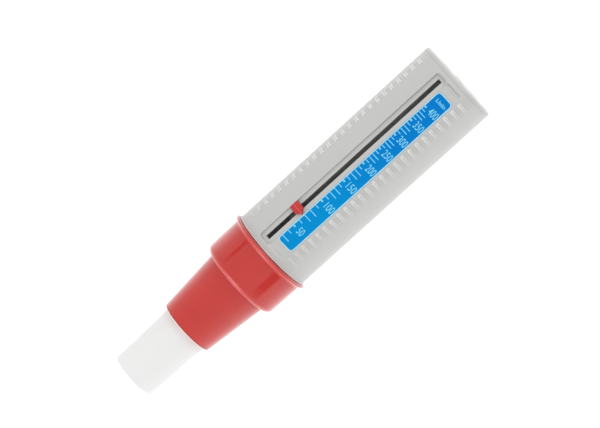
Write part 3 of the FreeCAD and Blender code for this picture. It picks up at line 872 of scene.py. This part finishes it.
def flat_patch(name, start, width, middle, height):
    """Thin printed patch in the plate's plane: a plane pulled up to the thickness of the ink."""
    deselect()
    bpy.ops.mesh.primitive_plane_add(size=1, location=((start + width / 2) * MM, middle * MM, 0))
    obj = bpy.context.object
    obj.name = name
    obj.scale = (width * MM, height * MM, 1)
    settle(obj)
    bpy.ops.object.mode_set(mode="EDIT")
    raise_ink()
    return obj


def join(name, parts):
    """Join several pieces into one."""
    deselect()
    for part in parts:
        part.select_set(True)
    bpy.context.view_layer.objects.active = parts[0]
    bpy.ops.object.join()
    obj = bpy.context.object
    obj.name = name
    return obj


def scale_marks():
    """(station, kind) of every mark, with four marks between the numbered ones."""
    marks = []
    values = sorted(MARK_STATIONS)
    for value in range(FIRST_MARK, values[0], MARK_STEP):
        station = MARK_STATIONS[values[0]] - FIRST_SPACING * (values[0] - value) / MARK_STEP
        marks.append((station, "long" if value == FIRST_MARK else "short"))
    for value, following in zip(values, values[1:] + [None]):
        marks.append((MARK_STATIONS[value], "bold"))
        if following:
            step = (MARK_STATIONS[following] - MARK_STATIONS[value]) / (len(MARKS_BETWEEN) + 1)
            for index, kind in enumerate(MARKS_BETWEEN, 1):
                marks.append((MARK_STATIONS[value] + step * index, kind))
    return marks


MARK_SIZES = {
    "long": (LONG_MARK, MARK_WIDTH),
    "short": (SHORT_MARK, MARK_WIDTH),
    "bold": (BOLD_MARK, BOLD_WIDTH),
}
patches = []
for station, kind in scale_marks():
    length, width = MARK_SIZES[kind]
    patches.append(flat_patch("mark", MARK_START, length, station - plate_station, width))
marks = join("scale_marks", patches)
lay_on_plate(marks)
finish_piece(marks, "barrel", scale_ink)


def lettering(name, text, start, middle, width, height, weight=0.0):
    """Printed figures in the plate's plane, drawn to a width and a height, in a heavier letter if wanted."""
    deselect()
    bpy.ops.object.text_add(location=(0, 0, 0))
    obj = bpy.context.object
    obj.data.body = text
    obj.data.resolution_u = 4
    obj.data.offset = weight
    bpy.ops.object.convert(target="MESH")
    obj = bpy.context.object
    obj.name = name
    xs = [vertex.co.x for vertex in obj.data.vertices]
    ys = [vertex.co.y for vertex in obj.data.vertices]
    grow_x = width * MM / (max(xs) - min(xs))
    grow_y = height * MM / (max(ys) - min(ys))
    obj.scale = (grow_x, grow_y, 1)
    obj.location = (start * MM - min(xs) * grow_x, (middle - height / 2) * MM - min(ys) * grow_y, 0)
    settle(obj)
    bpy.ops.object.mode_set(mode="EDIT")
    bpy.ops.mesh.select_all(action="SELECT")
    bpy.ops.mesh.remove_doubles(threshold=0.0005 * MM)
    raise_ink()
    return obj


letters = []
for value, station in MARK_STATIONS.items():
    width = NUMERAL_PITCH * len(str(value)) - NUMERAL_GAP
    middle = station + NUMERAL_SHIFT - plate_station
    letters.append(
        lettering("numeral", str(value), NUMERAL_START, middle, width, NUMERAL_HEIGHT, weight=NUMERAL_WEIGHT)
    )
numerals = join("scale_numerals", letters)
lay_on_plate(numerals)
finish_piece(numerals, "barrel", scale_ink)

unit_middle = UNIT_STATION - plate_station
unit = lettering("scale_unit", "L/min", UNIT_START, unit_middle, UNIT_LENGTH, UNIT_HEIGHT, weight=UNIT_WEIGHT)
lay_on_plate(unit)
finish_piece(unit, "barrel", scale_ink)


def plate_border():
    """Printed line round the plate: its outline inset by the line's width."""
    deselect()
    bpy.ops.mesh.primitive_plane_add(size=1, location=(plate_width / 2 * MM, plate_length / 2 * MM, 0))
    obj = bpy.context.object
    obj.name = "scale_border"
    obj.scale = (plate_width * MM, plate_length * MM, 1)
    settle(obj)
    bpy.ops.object.mode_set(mode="EDIT")
    bpy.ops.mesh.select_all(action="SELECT")
    bpy.ops.mesh.bevel(offset=BORDER_CORNER * MM, segments=8, affect="VERTICES")
    bpy.ops.mesh.select_all(action="SELECT")
    bpy.ops.mesh.inset(thickness=BORDER_WIDTH * MM)
    bpy.ops.mesh.delete(type="FACE")
    raise_ink()
    return obj


border = plate_border()
lay_on_plate(border)
finish_piece(border, "barrel", border_ink)


# Return spring, which the piston draws out as it travels, built here as one fixed coil

def coil(name, start, end, radius, wire, turns, steps=24, sides=10):
    """Coil of round wire about the meter's axis: a ring of the wire's section, screwed along X."""
    deselect()
    bpy.ops.mesh.primitive_circle_add(
        vertices=sides, radius=wire, location=(0, 0, radius), rotation=(math.pi / 2, 0, 0)
    )
    obj = bpy.context.object
    obj.name = name
    settle(obj)
    modify(obj, "SCREW", axis="X", angle=2 * math.pi, steps=steps, render_steps=steps, iterations=turns,
           screw_offset=(end - start) / turns)
    bpy.ops.object.mode_set(mode="EDIT")
    bpy.ops.mesh.select_all(action="SELECT")
    bpy.ops.mesh.remove_doubles(threshold=0.001 * MM)
    bpy.ops.mesh.fill_holes(sides=0)
    bpy.ops.mesh.select_all(action="SELECT")
    bpy.ops.mesh.normals_make_consistent(inside=False)
    bpy.ops.object.mode_set(mode="OBJECT")
    obj.location = (start, 0, AXIS_Z)
    settle(obj)
    smooth(obj, 60)
    return obj


spring_low, spring_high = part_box("return_spring")
spring = coil("return_spring_coil", spring_low.x + SPRING_WIRE * MM, spring_high.x - SPRING_WIRE * MM,
              SPRING_RADIUS * MM, SPRING_WIRE * MM, SPRING_TURNS)
# The spring stretches between two bodies, so it doesn't ride on one
spring.data.materials.clear()
spring.data.materials.append(finishes["spring_steel"])
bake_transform(spring)
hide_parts("return_spring")


# Floor, light and camera

def floor():
    """Pale floor that the meter lies on, bright enough to run out to white."""
    deselect()
    bpy.ops.mesh.primitive_plane_add(size=FLOOR_SIZE, location=(0, 0, 0))
    obj = bpy.context.object
    obj.name = "floor"
    material, tree, shader = new_material("floor_white")
    shader.inputs["Base Color"].default_value = (FLOOR_COLOUR, FLOOR_COLOUR, FLOOR_COLOUR, 1)
    shader.inputs["Roughness"].default_value = 0.9
    shader.inputs["Emission Color"].default_value = (1, 1, 1, 1)
    place = add(tree, "ShaderNodeTexCoord")
    split = add(tree, "ShaderNodeSeparateXYZ")
    across_floor = add(tree, "ShaderNodeMapRange")
    across_floor.inputs["From Min"].default_value = FLOOR_GLOW_REACH
    across_floor.inputs["From Max"].default_value = -FLOOR_GLOW_REACH
    across_floor.inputs["To Min"].default_value = FLOOR_GLOW_PLAIN
    across_floor.inputs["To Max"].default_value = FLOOR_GLOW_SCALE
    tree.links.new(place.outputs["Object"], split.inputs["Vector"])
    tree.links.new(split.outputs["Y"], across_floor.inputs["Value"])
    tree.links.new(across_floor.outputs["Result"], shader.inputs["Emission Strength"])
    obj.data.materials.append(material)


def light(name, place, aim, size, power):
    """Flat light at a place that looks at another."""
    data = bpy.data.lights.new(name, "AREA")
    data.shape = "RECTANGLE"
    data.size, data.size_y = size
    data.energy = power
    obj = bpy.data.objects.new(name, data)
    obj.location = place
    obj.rotation_euler = (Vector(aim) - Vector(place)).to_track_quat("-Z", "Y").to_euler()
    bpy.context.scene.collection.objects.link(obj)


def sky():
    """White studio round the meter: bright at its ends, a little brighter on the scale's side, and with two
    dark gaps that run along the meter."""
    world = bpy.data.worlds.new("studio")
    bpy.context.scene.world = world
    world.use_nodes = True
    tree = world.node_tree
    links = tree.links
    background = tree.nodes["Background"]
    background.inputs["Color"].default_value = (1, 1, 1, 1)
    place = tree.nodes.new("ShaderNodeTexCoord")
    split = tree.nodes.new("ShaderNodeSeparateXYZ")
    links.new(place.outputs["Generated"], split.inputs["Vector"])

    def calculate(operation, first, second=None):
        node = tree.nodes.new("ShaderNodeMath")
        node.operation = operation
        for socket, value in zip(node.inputs, (first, second)):
            if value is None:
                continue
            if isinstance(value, (int, float)):
                socket.default_value = value
            else:
                links.new(value, socket)
        return node.outputs[0]

    def between(value, low, high, edge):
        """One inside a range and none outside it, with soft ends."""
        ends = []
        for start, end in ((low - edge, low + edge), (high + edge, high - edge)):
            node = tree.nodes.new("ShaderNodeMapRange")
            node.interpolation_type = "SMOOTHSTEP"
            node.inputs["From Min"].default_value = start
            node.inputs["From Max"].default_value = end
            links.new(value, node.inputs["Value"])
            ends.append(node.outputs["Result"])
        return calculate("MULTIPLY", ends[0], ends[1])

    def glow(direction, tightness, strength):
        node = tree.nodes.new("ShaderNodeVectorMath")
        node.operation = "DOT_PRODUCT"
        links.new(place.outputs["Generated"], node.inputs[0])
        node.inputs[1].default_value = Vector(direction).normalized()
        facing = calculate("MAXIMUM", node.outputs["Value"], 0.0)
        return calculate("MULTIPLY", calculate("POWER", facing, tightness), strength)

    side = calculate("ARCTAN2", calculate("MULTIPLY", split.outputs["Y"], -1.0), split.outputs["Z"])
    level = calculate("ADD", STUDIO_LEVEL, calculate("MULTIPLY", split.outputs["Y"], STUDIO_TILT))
    for direction, tightness, strength in STUDIO_GLOWS:
        level = calculate("ADD", level, glow(direction, tightness, strength))
    along = between(split.outputs["X"], GAP_START, GAP_END, GAP_EDGE / 2)
    for low, high in STUDIO_GAPS:
        gap = calculate("MULTIPLY", between(side, math.radians(low), math.radians(high), GAP_EDGE), along)
        level = calculate("MULTIPLY", level, calculate("SUBTRACT", 1.0, gap))
    links.new(level, background.inputs["Strength"])


def camera():
    """Camera at the photograph's angle: leaning towards the cap, to the scale's side, and rolled."""
    lean, side, roll = CAMERA_LEAN, CAMERA_SIDE, CAMERA_ROLL
    back = Vector((math.sin(lean), -math.cos(lean) * math.sin(side), math.cos(lean) * math.cos(side)))
    level = (Vector((1, 0, 0)) - back * back.x).normalized()
    rise = back.cross(level)
    right = level * math.cos(roll) - rise * math.sin(roll)
    up = level * math.sin(roll) + rise * math.cos(roll)
    data = bpy.data.cameras.new("camera")
    data.lens = CAMERA_LENS
    data.sensor_width = CAMERA_SENSOR
    data.sensor_fit = "HORIZONTAL"
    data.clip_start = 0.05
    data.clip_end = 20
    obj = bpy.data.objects.new("camera", data)
    turn = Matrix((right, up, back)).transposed().to_4x4()
    obj.matrix_world = Matrix.Translation(CAMERA_TARGET + back * CAMERA_DISTANCE) @ turn
    bpy.context.scene.collection.objects.link(obj)
    bpy.context.scene.camera = obj


floor()
sky()
inside_place = (INSIDE_X, INSIDE_Y, AXIS_Z + INSIDE_RISE)
light("inside", inside_place, (INSIDE_X, INSIDE_Y, 0), INSIDE_SIZE, INSIDE_POWER)
camera()
bpy.context.scene.view_settings.view_transform = "Standard"
bpy.context.scene.view_settings.look = "None"
